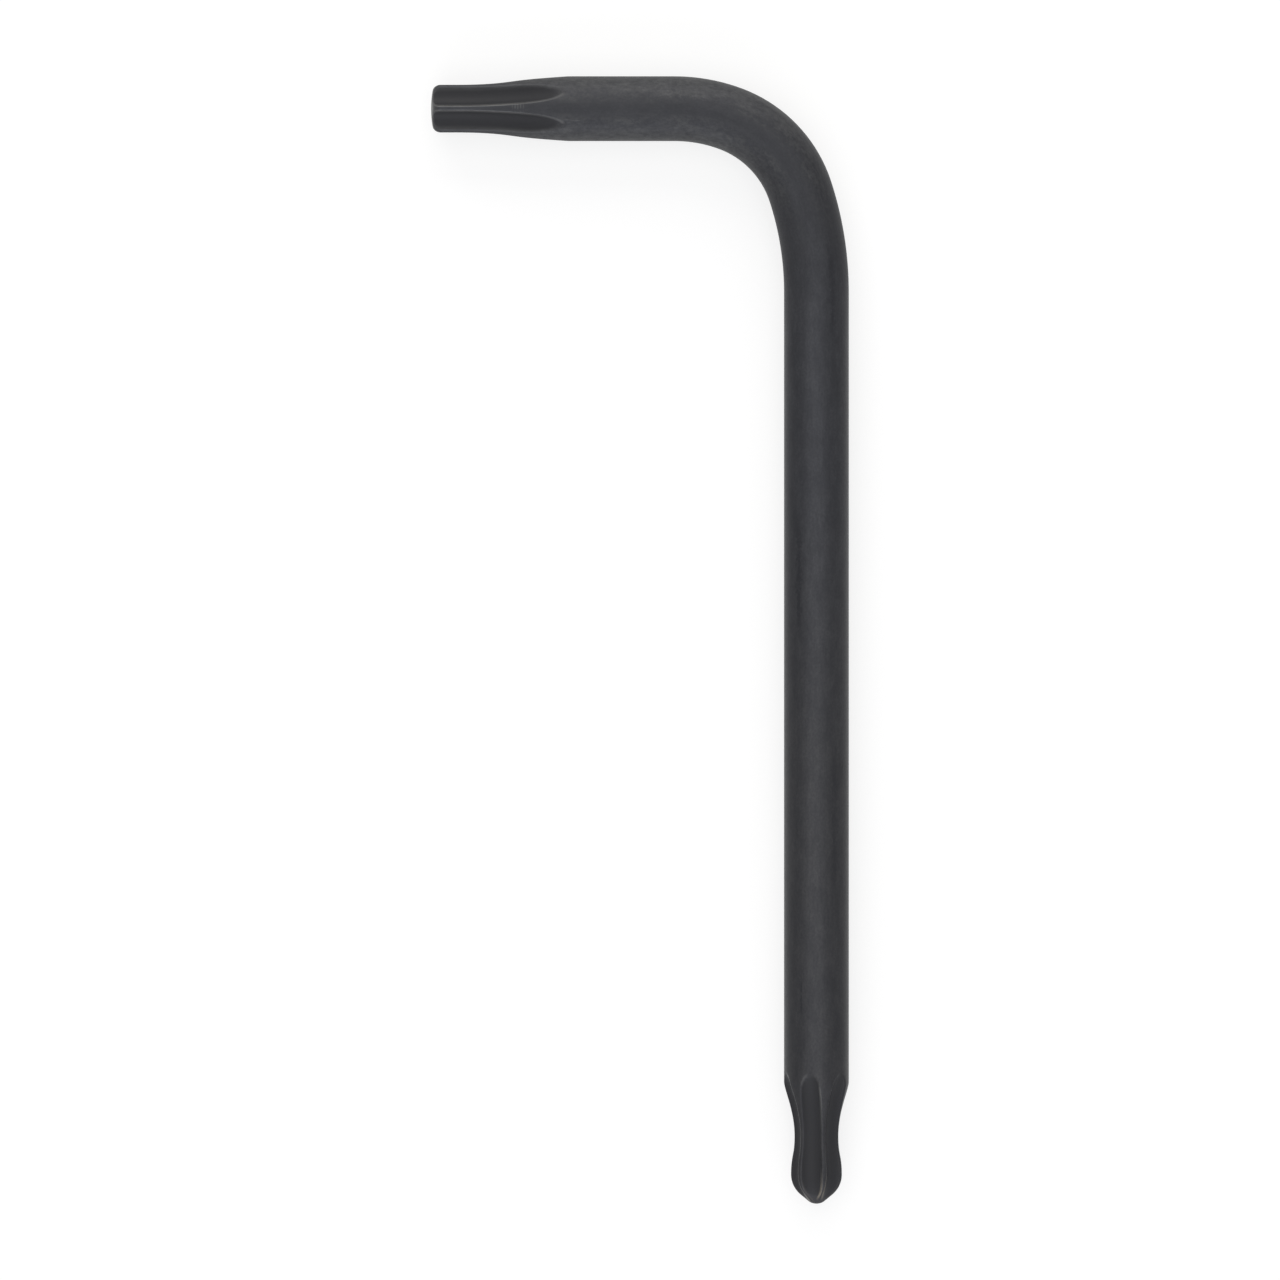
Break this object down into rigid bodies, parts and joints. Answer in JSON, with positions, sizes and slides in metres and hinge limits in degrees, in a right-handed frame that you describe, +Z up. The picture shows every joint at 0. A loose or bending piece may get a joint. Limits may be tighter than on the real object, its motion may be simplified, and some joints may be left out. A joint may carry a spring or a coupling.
{
  "type": "star drive key",
  "caption": "Bent steel key for screws with a star recess, with a domed star tip on its short arm and a ball-ended star tip on its long arm.",
  "frame": {"origin": "middle of the box round the key, on the surface that the key lies on", "axes": "+Z up from that surface, +Y along the long arm from its ball tip towards the bend, +X along the short arm from its tip towards the bend"},
  "size_m": [0.045, 0.1216, 0.007],
  "materials": {
    "blackened_steel": "satin black oxide on hardened tool steel, worn to a paler line along the edges of the flutes"
  },
  "bodies": {
    "root": {"star_drive_key": "blackened_steel"}
  },
  "joints": []
}
